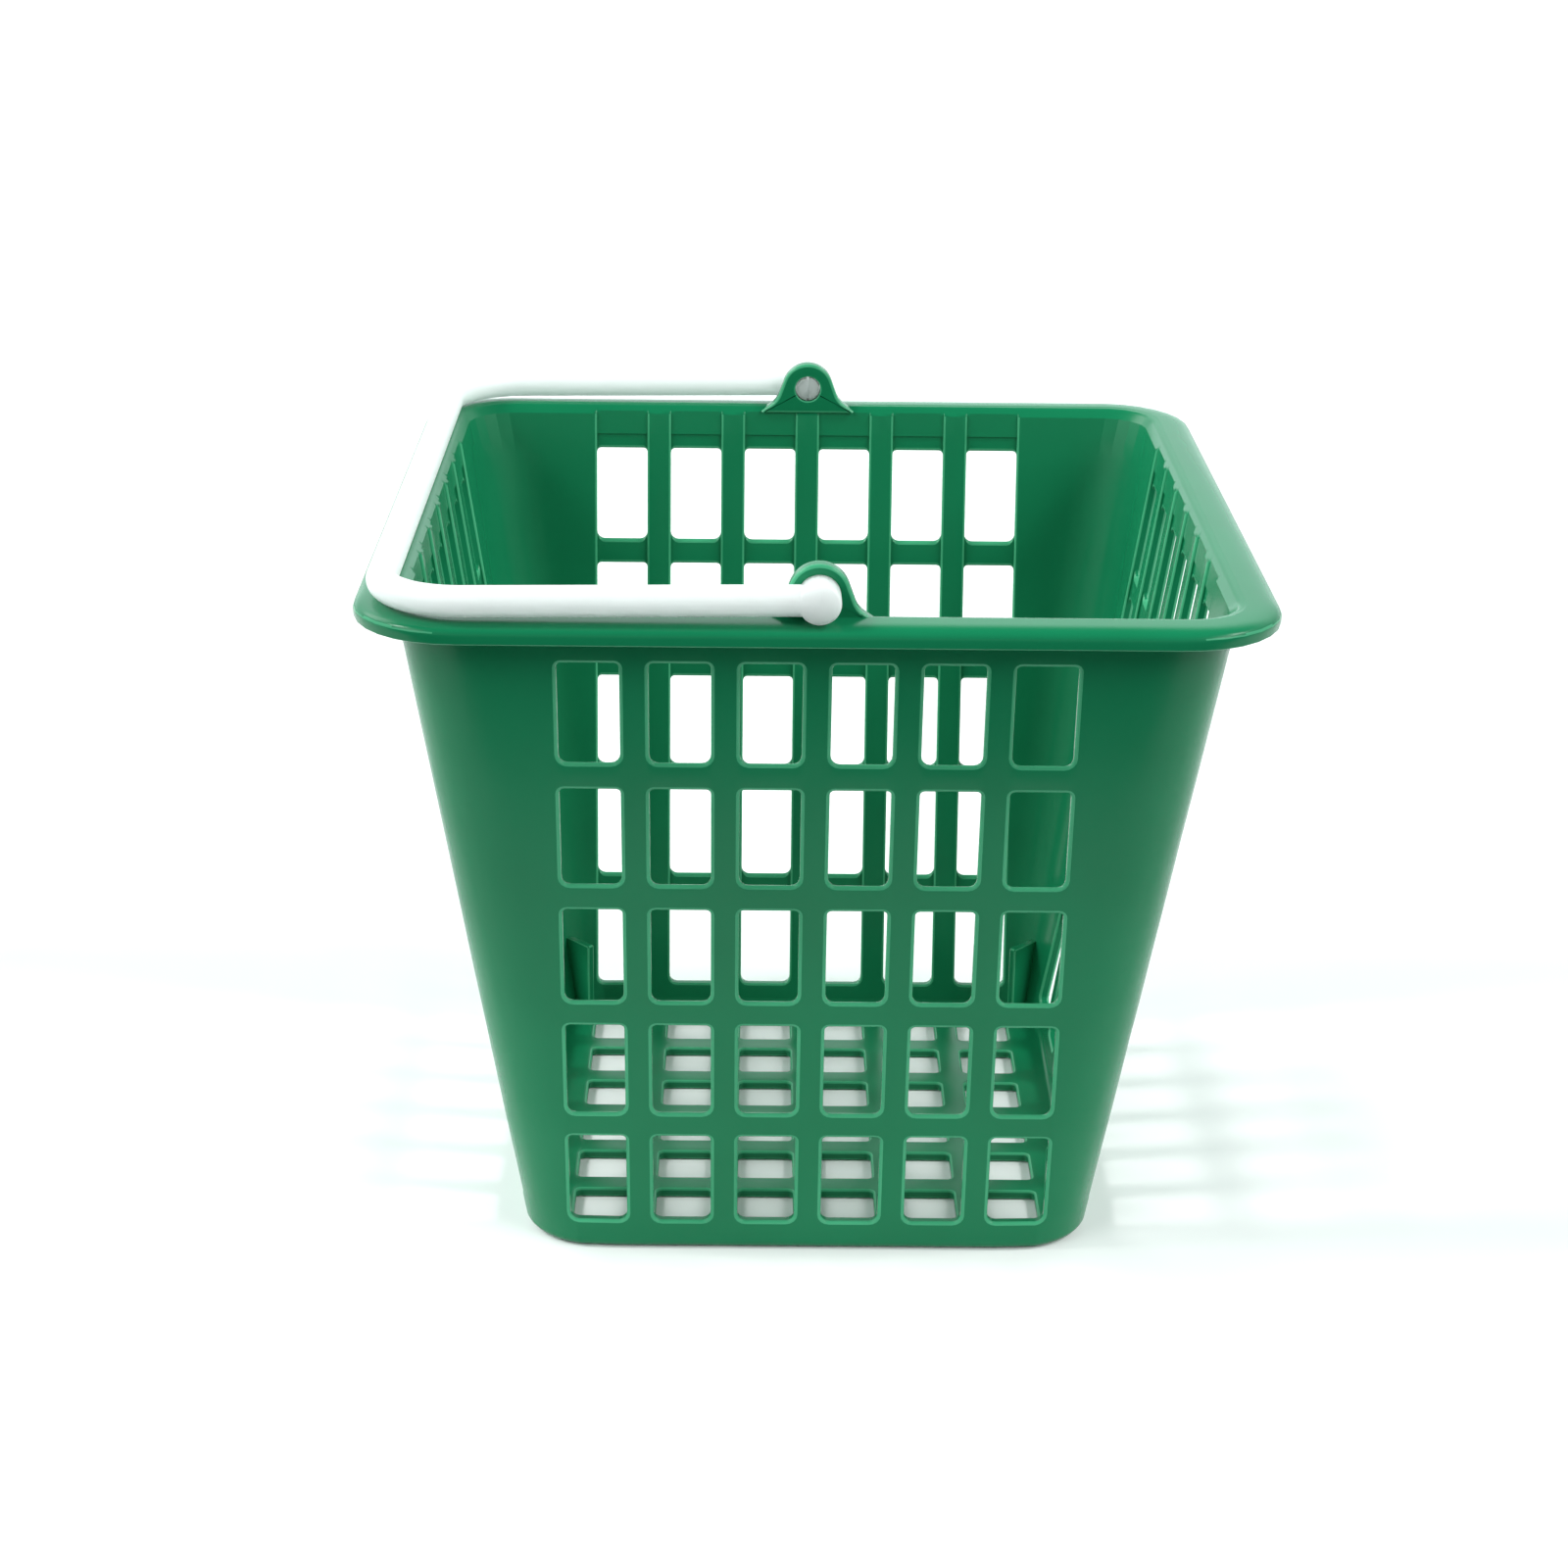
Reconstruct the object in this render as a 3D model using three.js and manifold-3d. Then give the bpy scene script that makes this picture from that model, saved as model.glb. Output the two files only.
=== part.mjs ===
// Golf ball basket: a nestable lattice basket with a rolled rim, and a bail handle that swings in two ears.
// Millimetres, +Z up. The origin is the middle of the base on the ground, and the front faces -Y.

import * as THREE from 'three';
import { mergeVertices } from 'three/addons/utils/BufferGeometryUtils.js';
import Module from 'manifold-3d';

// Basket shell
const BASE_WIDTH = 172.6; // across the outer walls at the ground
const HEIGHT = 211.8; // ground to the crown of the rim
const DRAFT_DEG = 8.4; // outward lean of every wall
const CORNER_RADIUS = 23; // upright corners of the outer wall, in plan
const RIB_DEPTH = 5; // wall through an upright rib or a plain corner
const SKIN = 3; // wall through a cross bar between the ribs
const FLOOR_THICKNESS = 3;
const BASE_EDGE_RADIUS = 3; // outer edge between the wall and the ground
const FLOOR_FILLET = 2; // inner edge between the wall and the floor

// Lattice of the walls and the floor
const COLUMNS = 6;
const ROWS = 5;
const CORNER_BAND = 14.35; // plain wall beside the outer windows, at the ground
const RIB_WIDTH = 7.3;
const BAR_HEIGHT = 7.45;
const SILL_HEIGHT = 10; // ground to the lowest windows
const HEAD_BAND = 14.1; // highest windows to the crown of the rim
const WINDOW_HEAD_BEVEL = 0.8;
const WINDOW_FOOT_RADIUS = 2;
const FLOOR_WINDOW_BEVEL = 1;

// Recessed panel between the ribs, above the highest windows
const PANEL_RECESS = 1; // depth behind the face of the ribs
const PANEL_FOOT = 4.3; // height of its lower edge over the highest windows
const PANEL_HEAD = 4; // its upper edge below the crown of the rim

// Rolled rim, with a hollow underside
const RIM_OVERHANG = 9.5; // reach outside the wall
const RIM_DROP = 7.4; // crown to the lower edge of the skirt
const RIM_SHELL = 2.4; // moulding thickness at the crown
const RIM_LIP = 1.5; // moulding thickness at the skirt
const RIM_SHOULDER = 4.8; // height of the outer rounding
const RIM_INNER_DROP = 5; // height of the inner rounding
const CROWN_OFFSET = 1.2; // crown outside the outer face of the wall

// Stacking fins in the four inner corners
const FIN_TOP = 29; // ground to the top of a fin
const FIN_REACH = 11.5; // length inward from the corner of the wall
const FIN_THICKNESS = 2.6;

// Handle ears on the front and the back of the rim
const EAR_RADIUS = 8.5;
const EAR_THICKNESS = 5;
const EAR_SETBACK = 1.7; // mid-plane of the ear inside the crown
const EAR_FLARE_DEG = 20; // lean of the flanks
const EAR_ROOT = 1.8; // depth of the ear in the rim below the crown
const HINGE_RISE = 6.2; // hinge line over the crown
const PIN_DIAMETER = 7.9;
const PIN_CLEARANCE = 0.3; // round the pin, in the hole of the ear

// Bail handle
const HANDLE_DIAMETER = 9;
const BEND_RADIUS = 18.5; // centre line of the two corners
const BOSS_DIAMETER = 11.8;
const BOSS_EDGE = 0.8; // bevel round the outer face of a boss
const PIN_LEAD = 0.7; // bevel round the end of a pin
const SLOT_WIDTH = 0.8; // split of the snap pin
const SIDE_CLEARANCE = 0.3; // between an ear and its boss
const REST_CLEARANCE = 0.3; // between the resting grip and the rim

// Fineness of the curved surfaces
const CORNER_STEPS = 6;
const ARC_STEPS = 4;
const TUBE_SIDES = 16;
const BEND_STEPS = 6;
const ROUND_STEPS = 24;
const WINDOW_STEPS = 2;

// Sizes that follow from the ones above
const SLOPE = Math.tan(THREE.MathUtils.degToRad(DRAFT_DEG));
const WINDOW_WIDTH = (BASE_WIDTH - 2 * CORNER_BAND - (COLUMNS - 1) * RIB_WIDTH) / COLUMNS;
const WINDOW_HEAD = HEIGHT - HEAD_BAND;
const WINDOW_HEIGHT = (WINDOW_HEAD - SILL_HEIGHT - (ROWS - 1) * BAR_HEIGHT) / ROWS;
const RIM_WALL = wallHalf(HEIGHT - RIM_DROP);
const CROWN = RIM_WALL + CROWN_OFFSET;
const REACH_LIMIT = RIM_WALL + RIM_OVERHANG;
const HINGE_HEIGHT = HEIGHT + HINGE_RISE;
const EAR_MIDDLE = CROWN - EAR_SETBACK;
const HOLE_RADIUS = PIN_DIAMETER / 2 + PIN_CLEARANCE;
const TUBE_RADIUS = HANDLE_DIAMETER / 2;
const BOSS_FACE = EAR_MIDDLE + EAR_THICKNESS / 2 + SIDE_CLEARANCE;
const ARM_OFFSET = BOSS_FACE + TUBE_RADIUS;
const GRIP_REACH = CROWN;
const REST_DROP = HINGE_RISE - REST_CLEARANCE - TUBE_RADIUS;
const REST_TILT = Math.asin(REST_DROP / GRIP_REACH);

const wasm = await Module();
wasm.setup();

// Half the outer width of the basket at a height.
function wallHalf(z) {
  return BASE_WIDTH / 2 + z * SLOPE;
}

// A geometry as a closed solid, without its doubled vertices and collapsed triangles.
function toSolid(geometry) {
  const bare = new THREE.BufferGeometry();
  bare.setAttribute('position', geometry.getAttribute('position'));
  bare.setIndex(geometry.getIndex());
  const merged = mergeVertices(bare);
  const corners = merged.getIndex().array;
  const triangles = [];
  for (let i = 0; i < corners.length; i += 3) {
    const [a, b, c] = corners.slice(i, i + 3);
    if (a !== b && b !== c && c !== a) {
      triangles.push(a, b, c);
    }
  }
  const vertProperties = Float32Array.from(merged.getAttribute('position').array);
  const triVerts = Uint32Array.from(triangles);
  return new wasm.Manifold(new wasm.Mesh({ numProp: 3, vertProperties, triVerts }));
}

// A closed solid as a geometry.
function toGeometry(solid) {
  const mesh = solid.getMesh();
  const geometry = new THREE.BufferGeometry();
  geometry.setAttribute('position', new THREE.BufferAttribute(mesh.vertProperties, 3));
  geometry.setIndex(new THREE.BufferAttribute(mesh.triVerts, 1));
  geometry.computeVertexNormals();
  return geometry;
}

// Join several solids into one.
function join(solids) {
  return solids.reduce((whole, solid) => whole.add(solid));
}

// Skin a solid over rings of points, and close the first and the last ring with flat faces.
function loft(rings) {
  const sides = rings[0].length;
  const triangles = [];
  for (let ring = 0; ring < rings.length - 1; ring += 1) {
    for (let side = 0; side < sides; side += 1) {
      const a = ring * sides + side;
      const b = ring * sides + ((side + 1) % sides);
      triangles.push(a, b, b + sides, a, b + sides, a + sides);
    }
  }
  const last = (rings.length - 1) * sides;
  for (let side = 1; side < sides - 1; side += 1) {
    triangles.push(0, side + 1, side);
    triangles.push(last, last + side, last + side + 1);
  }
  const geometry = new THREE.BufferGeometry().setFromPoints(rings.flat());
  geometry.setIndex(triangles);
  return toSolid(geometry);
}

// A level ring of the basket: a square with round corners that run parallel to those of the outer wall.
function squareRing(half, z) {
  const radius = CORNER_RADIUS + half - wallHalf(z);
  const middle = half - radius;
  const points = [];
  for (let corner = 0; corner < 4; corner += 1) {
    const start = corner * Math.PI / 2;
    const quadrant = start + Math.PI / 4;
    for (let step = 0; step <= CORNER_STEPS; step += 1) {
      const angle = start + step / CORNER_STEPS * Math.PI / 2;
      const x = middle * Math.sign(Math.cos(quadrant)) + radius * Math.cos(angle);
      const y = middle * Math.sign(Math.sin(quadrant)) + radius * Math.sin(angle);
      points.push(new THREE.Vector3(x, y, z));
    }
  }
  return points;
}

// Points along a quarter of an ellipse in the section of the basket, from one angle to another, in degrees.
function sectionArc(centre, across, up, fromDeg, toDeg) {
  const points = [];
  for (let step = 0; step <= ARC_STEPS; step += 1) {
    const angle = THREE.MathUtils.degToRad(fromDeg + (toDeg - fromDeg) * step / ARC_STEPS);
    points.push(new THREE.Vector2(centre.x + across * Math.cos(angle), centre.y + up * Math.sin(angle)));
  }
  return points;
}

// Section of the rim, from its underside at the wall, round the skirt and over the crown, to the inside.
function rimSection() {
  const shoulder = new THREE.Vector2(CROWN, HEIGHT - RIM_SHOULDER);
  const outward = REACH_LIMIT - CROWN;
  const inside = new THREE.Vector2(CROWN, HEIGHT - RIM_INNER_DROP);
  const inward = CROWN - wallHalf(inside.y) + RIB_DEPTH;
  const skirt = HEIGHT - RIM_DROP;
  const root = HEIGHT - RIM_SHELL - CROWN_OFFSET;
  return [
    new THREE.Vector2(wallHalf(root), root),
    ...sectionArc(shoulder, outward - RIM_LIP, RIM_SHOULDER - RIM_SHELL, 90, 0),
    new THREE.Vector2(REACH_LIMIT - RIM_LIP, skirt),
    new THREE.Vector2(REACH_LIMIT, skirt),
    ...sectionArc(shoulder, outward, RIM_SHOULDER, 0, 90),
    ...sectionArc(inside, inward, RIM_INNER_DROP, 90, 180).slice(1),
  ];
}

// The whole moulding before its windows: ground, outer wall, rim, inner wall and floor.
function shell() {
  const edge = new THREE.Vector2(wallHalf(BASE_EDGE_RADIUS) - BASE_EDGE_RADIUS, BASE_EDGE_RADIUS);
  const foot = FLOOR_THICKNESS + FLOOR_FILLET;
  const fillet = new THREE.Vector2(wallHalf(foot) - RIB_DEPTH - FLOOR_FILLET, foot);
  const section = [
    ...sectionArc(edge, BASE_EDGE_RADIUS, BASE_EDGE_RADIUS, -90, 0),
    ...rimSection(),
    ...sectionArc(fillet, FLOOR_FILLET, FLOOR_FILLET, 0, -90),
  ];
  return loft(section.map((point) => squareRing(point.x, point.y)));
}

// The space inside a wall of one thickness, between two heights.
function hollow(thickness, bottom, top) {
  return loft([bottom, top].map((z) => squareRing(wallHalf(z) - thickness, z)));
}

// Middles of a row of windows, evenly set about zero.
function windowMiddles(count, pitch) {
  return Array.from({ length: count }, (_, i) => (i - (count - 1) / 2) * pitch);
}

// Outline of one window standing on zero, with small bevels at its head and round corners at its foot.
function windowShape() {
  const half = WINDOW_WIDTH / 2;
  const shape = new THREE.Shape();
  shape.moveTo(half, WINDOW_HEIGHT - WINDOW_HEAD_BEVEL);
  shape.lineTo(half - WINDOW_HEAD_BEVEL, WINDOW_HEIGHT);
  shape.lineTo(-half + WINDOW_HEAD_BEVEL, WINDOW_HEIGHT);
  shape.lineTo(-half, WINDOW_HEIGHT - WINDOW_HEAD_BEVEL);
  shape.absarc(-half + WINDOW_FOOT_RADIUS, WINDOW_FOOT_RADIUS, WINDOW_FOOT_RADIUS, Math.PI, Math.PI * 1.5);
  shape.absarc(half - WINDOW_FOOT_RADIUS, WINDOW_FOOT_RADIUS, WINDOW_FOOT_RADIUS, -Math.PI / 2, 0);
  return shape;
}

// Outline of one square window of the floor about zero, with bevelled corners.
function floorWindowShape() {
  const half = WINDOW_WIDTH / 2;
  const flat = half - FLOOR_WINDOW_BEVEL;
  const points = [];
  for (let corner = 0; corner < 4; corner += 1) {
    const turn = corner * Math.PI / 2;
    points.push(new THREE.Vector2(half, flat).rotateAround(new THREE.Vector2(), turn));
    points.push(new THREE.Vector2(flat, half).rotateAround(new THREE.Vector2(), turn));
  }
  return new THREE.Shape(points);
}

// Slots between the ribs, across the basket both ways, between two heights.
function columnSlots(bottom, top) {
  const span = 2 * REACH_LIMIT;
  const slots = [];
  for (const middle of windowMiddles(COLUMNS, WINDOW_WIDTH + RIB_WIDTH)) {
    const slot = new THREE.BoxGeometry(WINDOW_WIDTH, span, top - bottom);
    slot.translate(middle, 0, (top + bottom) / 2);
    slots.push(toSolid(slot));
    slots.push(toSolid(slot.clone().rotateZ(Math.PI / 2)));
  }
  return join(slots);
}

// Recesses that leave the ribs standing on the inside of the walls.
function ribRecesses() {
  const panelFoot = WINDOW_HEAD + PANEL_FOOT;
  const panelHead = HEIGHT - PANEL_HEAD;
  const deep = hollow(SKIN, SILL_HEIGHT, panelFoot).intersect(columnSlots(SILL_HEIGHT, panelFoot));
  const panel = hollow(RIB_DEPTH - PANEL_RECESS, SILL_HEIGHT, panelHead);
  return deep.add(panel.intersect(columnSlots(panelFoot, panelHead)));
}

// Windows of the four walls: each cutter runs through two opposite walls.
function wallWindows() {
  const span = 2 * REACH_LIMIT;
  const shape = windowShape();
  const cutters = [];
  for (let row = 0; row < ROWS; row += 1) {
    const sill = SILL_HEIGHT + row * (WINDOW_HEIGHT + BAR_HEIGHT);
    for (const middle of windowMiddles(COLUMNS, WINDOW_WIDTH + RIB_WIDTH)) {
      const cutter = new THREE.ExtrudeGeometry(shape, {
        depth: span,
        bevelEnabled: false,
        curveSegments: WINDOW_STEPS / 2,
      });
      cutter.rotateX(Math.PI / 2);
      cutter.translate(middle, span / 2, sill);
      cutters.push(toSolid(cutter));
      cutters.push(toSolid(cutter.clone().rotateZ(Math.PI / 2)));
    }
  }
  return join(cutters);
}

// Square windows of the floor, in line with the columns of the walls.
function floorWindows() {
  const shape = floorWindowShape();
  const middles = windowMiddles(COLUMNS, WINDOW_WIDTH + RIB_WIDTH);
  const cutters = [];
  for (const x of middles) {
    for (const y of middles) {
      const cutter = new THREE.ExtrudeGeometry(shape, { depth: 3 * FLOOR_THICKNESS, bevelEnabled: false });
      cutter.translate(x, y, -FLOOR_THICKNESS);
      cutters.push(toSolid(cutter));
    }
  }
  return join(cutters);
}

// Distance from the middle axis to the inside of a corner, along its diagonal.
function innerCorner(z) {
  return Math.SQRT2 * (wallHalf(z) - CORNER_RADIUS) + CORNER_RADIUS - RIB_DEPTH;
}

// Upright fins on the diagonals, on which a nested basket would stand.
function stackingFins() {
  const tip = innerCorner(FIN_TOP) - FIN_REACH;
  const root = FLOOR_THICKNESS / 2;
  const bury = RIB_DEPTH / 2;
  const shape = new THREE.Shape([
    new THREE.Vector2(tip, root),
    new THREE.Vector2(innerCorner(root) + bury, root),
    new THREE.Vector2(innerCorner(FIN_TOP) + bury, FIN_TOP),
    new THREE.Vector2(tip, FIN_TOP),
  ]);
  const fins = [];
  for (let corner = 0; corner < 4; corner += 1) {
    const fin = new THREE.ExtrudeGeometry(shape, { depth: FIN_THICKNESS, bevelEnabled: false });
    fin.translate(0, 0, -FIN_THICKNESS / 2);
    fin.rotateX(Math.PI / 2);
    fin.rotateZ(Math.PI / 4 + corner * Math.PI / 2);
    fins.push(toSolid(fin));
  }
  return join(fins);
}

// Outline of an ear round its hinge: a round head on flanks that flare to the rim, with the hole for the pin.
function earShape() {
  const flare = THREE.MathUtils.degToRad(EAR_FLARE_DEG);
  const root = -(HINGE_RISE + EAR_ROOT);
  const shoulder = new THREE.Vector2(EAR_RADIUS * Math.cos(flare), EAR_RADIUS * Math.sin(flare));
  const foot = shoulder.x + (shoulder.y - root) * Math.tan(flare);
  const shape = new THREE.Shape();
  shape.moveTo(-foot, root);
  shape.lineTo(foot, root);
  shape.absarc(0, 0, EAR_RADIUS, flare, Math.PI - flare);
  const hole = new THREE.Path();
  hole.absarc(0, 0, HOLE_RADIUS, 0, 2 * Math.PI);
  shape.holes.push(hole);
  return shape;
}

// The two ears, standing on the rim.
function ears() {
  const ear = new THREE.ExtrudeGeometry(earShape(), {
    depth: EAR_THICKNESS,
    bevelEnabled: false,
    curveSegments: ROUND_STEPS / 2,
  });
  ear.rotateX(Math.PI / 2);
  ear.translate(0, EAR_MIDDLE + EAR_THICKNESS / 2, HINGE_HEIGHT);
  return toSolid(ear).add(toSolid(ear.clone().rotateZ(Math.PI)));
}

// Centre line of the handle about its hinge: arm, bend, grip, bend and arm.
function handleLine() {
  const points = [{ at: new THREE.Vector3(0, -ARM_OFFSET, 0), heading: Math.PI }];
  for (const bend of [0, 1]) {
    const side = bend === 0 ? -1 : 1;
    const start = Math.PI - bend * Math.PI / 2;
    const centre = new THREE.Vector3(BEND_RADIUS - GRIP_REACH, side * (ARM_OFFSET - BEND_RADIUS), 0);
    for (let step = 0; step <= BEND_STEPS; step += 1) {
      const heading = start - step / BEND_STEPS * Math.PI / 2;
      const spoke = new THREE.Vector3(-Math.sin(heading), Math.cos(heading), 0);
      points.push({ at: centre.clone().addScaledVector(spoke, BEND_RADIUS), heading });
    }
  }
  points.push({ at: new THREE.Vector3(0, ARM_OFFSET, 0), heading: 0 });
  return points;
}

// Round bar along the centre line.
function handleBar() {
  const rings = handleLine().map(({ at, heading }) => {
    const across = new THREE.Vector3(-Math.sin(heading), Math.cos(heading), 0);
    return Array.from({ length: TUBE_SIDES }, (_, i) => {
      const angle = 2 * Math.PI * i / TUBE_SIDES;
      const point = at.clone().addScaledVector(across, TUBE_RADIUS * Math.cos(angle));
      point.z += TUBE_RADIUS * Math.sin(angle);
      return point;
    });
  });
  return loft(rings);
}

// One end of the handle: a round boss, and the split snap pin that fills the ear, turned to its side.
function handleEnd(turn) {
  const pinEnd = EAR_MIDDLE - EAR_THICKNESS / 2;
  const pin = PIN_DIAMETER / 2;
  const boss = BOSS_DIAMETER / 2;
  const outer = BOSS_FACE + HANDLE_DIAMETER;
  const profile = [
    new THREE.Vector2(0, pinEnd),
    new THREE.Vector2(pin - PIN_LEAD, pinEnd),
    new THREE.Vector2(pin, pinEnd + PIN_LEAD),
    new THREE.Vector2(pin, BOSS_FACE),
    new THREE.Vector2(boss, BOSS_FACE),
    new THREE.Vector2(boss, outer - BOSS_EDGE),
    new THREE.Vector2(boss - BOSS_EDGE, outer),
    new THREE.Vector2(0, outer),
  ];
  const turned = new THREE.LatheGeometry(profile, ROUND_STEPS);
  const slot = new THREE.BoxGeometry(SLOT_WIDTH, 2 * (BOSS_FACE - pinEnd), 2 * PIN_DIAMETER);
  slot.translate(0, pinEnd, 0);
  return toSolid(turned.rotateZ(turn)).subtract(toSolid(slot.rotateZ(turn)));
}

// The bail handle in one piece, about its hinge.
function bailHandle() {
  return join([handleBar(), handleEnd(0), handleEnd(Math.PI)]);
}

// The basket in one piece.
function basket() {
  const lattice = shell().subtract(ribRecesses()).subtract(wallWindows()).subtract(floorWindows());
  return lattice.add(stackingFins()).add(ears());
}

// A named mesh with its own material.
function piece(name, solid, material) {
  const mesh = new THREE.Mesh(toGeometry(solid), material);
  mesh.name = name;
  return mesh;
}

const greenPolypropylene = new THREE.MeshStandardMaterial({ color: 0x1f7a55, roughness: 0.4, metalness: 0 });
const whitePolypropylene = new THREE.MeshStandardMaterial({ color: 0xeef3f2, roughness: 0.45, metalness: 0 });

const bail = new THREE.Group();
bail.position.z = HINGE_HEIGHT;
bail.rotation.y = -REST_TILT;
bail.add(piece('bail_handle', bailHandle(), whitePolypropylene));

const golfBallBasket = new THREE.Group();
golfBallBasket.add(piece('basket', basket(), greenPolypropylene));
golfBallBasket.add(bail);

export default golfBallBasket;
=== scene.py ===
"""A green lattice basket for golf balls, with a white bail handle that swings in two ears of its rim.

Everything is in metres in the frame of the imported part: +Z is up, the front faces -Y, and the
origin is the middle of the base on the floor.
"""

import logging
import math
from collections.abc import Callable, Sequence
from dataclasses import dataclass, replace
from enum import Enum

import bmesh
import bpy
from mathutils import Matrix, Vector


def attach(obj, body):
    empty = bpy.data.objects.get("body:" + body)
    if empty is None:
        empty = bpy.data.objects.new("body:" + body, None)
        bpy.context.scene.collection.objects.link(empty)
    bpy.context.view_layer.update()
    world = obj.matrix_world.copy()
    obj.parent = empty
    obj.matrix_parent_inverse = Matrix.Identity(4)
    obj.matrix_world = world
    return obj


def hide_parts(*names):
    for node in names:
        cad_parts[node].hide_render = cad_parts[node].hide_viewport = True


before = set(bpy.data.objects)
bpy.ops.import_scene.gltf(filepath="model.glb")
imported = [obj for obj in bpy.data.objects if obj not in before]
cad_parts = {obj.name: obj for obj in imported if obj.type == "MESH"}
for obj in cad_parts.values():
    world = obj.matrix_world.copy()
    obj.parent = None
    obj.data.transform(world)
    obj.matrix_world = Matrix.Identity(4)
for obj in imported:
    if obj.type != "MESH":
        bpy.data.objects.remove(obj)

LOG = logging.getLogger("golf_ball_basket")
WALLS = 4
WELD_DISTANCE = 4e-6
PLATE_EDGE_STEPS = 3
HOLE_EDGE_STEPS = 2
# A narrow facet that bends along both of its long sides belongs to a rounded edge. Its borders are
# shaded smooth up to the sharp angle, and all other edges up to the crease angle.
EDGE_WIDTH = 0.0009
LONG_SIDE = 0.7
BENT_DEG = 12.0
SHARP_DEG = 50.0
CREASE_DEG = 14.0
FLAT_FACE_WEIGHT = 80
EDGE_ATTRIBUTE = "rounded_edge"
# Sockets of a mix node for colours, whose names are shared with its sockets for numbers.
MIX_FIRST = 6
MIX_SECOND = 7
MIX_RESULT = 2

Pair = tuple[float, float]
Triple = tuple[float, float, float]
Place = Callable[[float, float], Vector]


class WindowEnd(Enum):
    """The two ends of a window, each with the way that it points."""

    HEAD = 1.0
    FOOT = -1.0


class Join(Enum):
    """How one solid changes another."""

    UNION = "UNION"
    DIFFERENCE = "DIFFERENCE"


class Side(Enum):
    """The sides of the studio, each with the way towards it."""

    BACK = (0.0, 1.0, 0.0)
    LEFT = (-1.0, 0.0, 0.0)
    RIGHT = (1.0, 0.0, 0.0)
    FRONT = (0.0, -1.0, 0.0)


def srgb(code: str) -> tuple[float, float, float, float]:
    """Turns a colour as written into the linear values that a shader takes.

    Args:
        code: Six hex digits, with or without a leading hash sign.

    Returns:
        Linear red, green and blue, and an alpha of one.
    """
    digits = code.lstrip("#")
    channels = [int(digits[i : i + 2], 16) / 255 for i in (0, 2, 4)]
    linear = [c / 12.92 if c <= 0.04045 else ((c + 0.055) / 1.055) ** 2.4 for c in channels]
    return linear[0], linear[1], linear[2], 1.0


def rounding(size: float, steps: int) -> list[Pair]:
    """Gives a rounded edge as pairs of distances, behind its second face and below its first one."""
    angles = [step / steps * math.pi / 2 for step in range(steps + 1)]
    return [(size * (1 - math.sin(a)), size * (1 - math.cos(a))) for a in angles]


def arc(
    centre: Pair, across: float, up: float, start: float, end: float, steps: int, power: float = 1.0
) -> list[Pair]:
    """Gives points along an ellipse in a section of the moulding.

    Args:
        centre: Middle of the ellipse.
        across: Half its width.
        up: Half its height.
        start: First angle in degrees.
        end: Last angle in degrees.
        steps: Number of facets.
        power: One for an ellipse, and less for one with fuller shoulders.

    Returns:
        The points from the first angle to the last one.
    """

    def part(value: float) -> float:
        """Raises the size of a sine or a cosine to the power and keeps its sign."""
        return math.copysign(round(abs(value), 12) ** power, value)

    angles = [math.radians(start + (end - start) * step / steps) for step in range(steps + 1)]
    return [(centre[0] + across * part(math.cos(a)), centre[1] + up * part(math.sin(a))) for a in angles]


class Draft:
    """The points and faces of a piece while it is drawn, before its shared points are welded."""

    def __init__(self) -> None:
        """Starts an empty draft."""
        self.points: list[Vector] = []
        self.faces: list[list[int]] = []

    def face(self, points: Sequence[Vector]) -> None:
        """Adds one face.

        Args:
            points: Its corners in order.
        """
        start = len(self.points)
        self.points.extend(points)
        self.faces.append(list(range(start, start + len(points))))

    def skin(self, rows: Sequence[Sequence[Vector]], closed: bool = False) -> None:
        """Joins each row of points to the next one by quads.

        Args:
            rows: Rows with the same number of points.
            closed: Whether the last point of a row joins its first one.
        """
        for first, second in zip(rows, rows[1:]):
            count = len(first)
            for i in range(count if closed else count - 1):
                j = (i + 1) % count
                self.face((first[i], first[j], second[j], second[i]))

    def tube(self, rows: Sequence[Sequence[Vector]]) -> None:
        """Joins closed rows of points to a solid with a face over each end.

        Args:
            rows: Rows with the same number of points.
        """
        self.skin(rows, closed=True)
        self.face(rows[0])
        self.face(rows[-1])

    def to_object(self, name: str) -> bpy.types.Object:
        """Welds the draft into a closed mesh object.

        Args:
            name: Name of the object and its mesh.

        Returns:
            The object, linked to the scene.
        """
        mesh = bpy.data.meshes.new(name)
        mesh.from_pydata([tuple(p) for p in self.points], [], self.faces)
        piece = bpy.data.objects.new(name, mesh)
        bpy.context.scene.collection.objects.link(piece)
        work = bmesh.new()
        work.from_mesh(mesh)
        bmesh.ops.remove_doubles(work, verts=work.verts, dist=WELD_DISTANCE)
        bmesh.ops.recalc_face_normals(work, faces=work.faces)
        work.to_mesh(mesh)
        work.free()
        return piece


def combine(piece: bpy.types.Object, other: bpy.types.Object, how: Join) -> None:
    """Joins or cuts a piece with another solid, which is used up.

    Args:
        piece: The solid that changes.
        other: The solid that is added or taken away.
        how: Which of the two it is.
    """
    cut = piece.modifiers.new("join", "BOOLEAN")
    cut.operation = how.value
    cut.solver = "MANIFOLD"
    cut.object = other
    evaluated = piece.evaluated_get(bpy.context.evaluated_depsgraph_get())
    made = bpy.data.meshes.new_from_object(evaluated)
    piece.modifiers.remove(cut)
    old = piece.data
    piece.data = made
    bpy.data.meshes.remove(old)
    made.name = piece.name
    bpy.data.meshes.remove(other.data)


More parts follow.
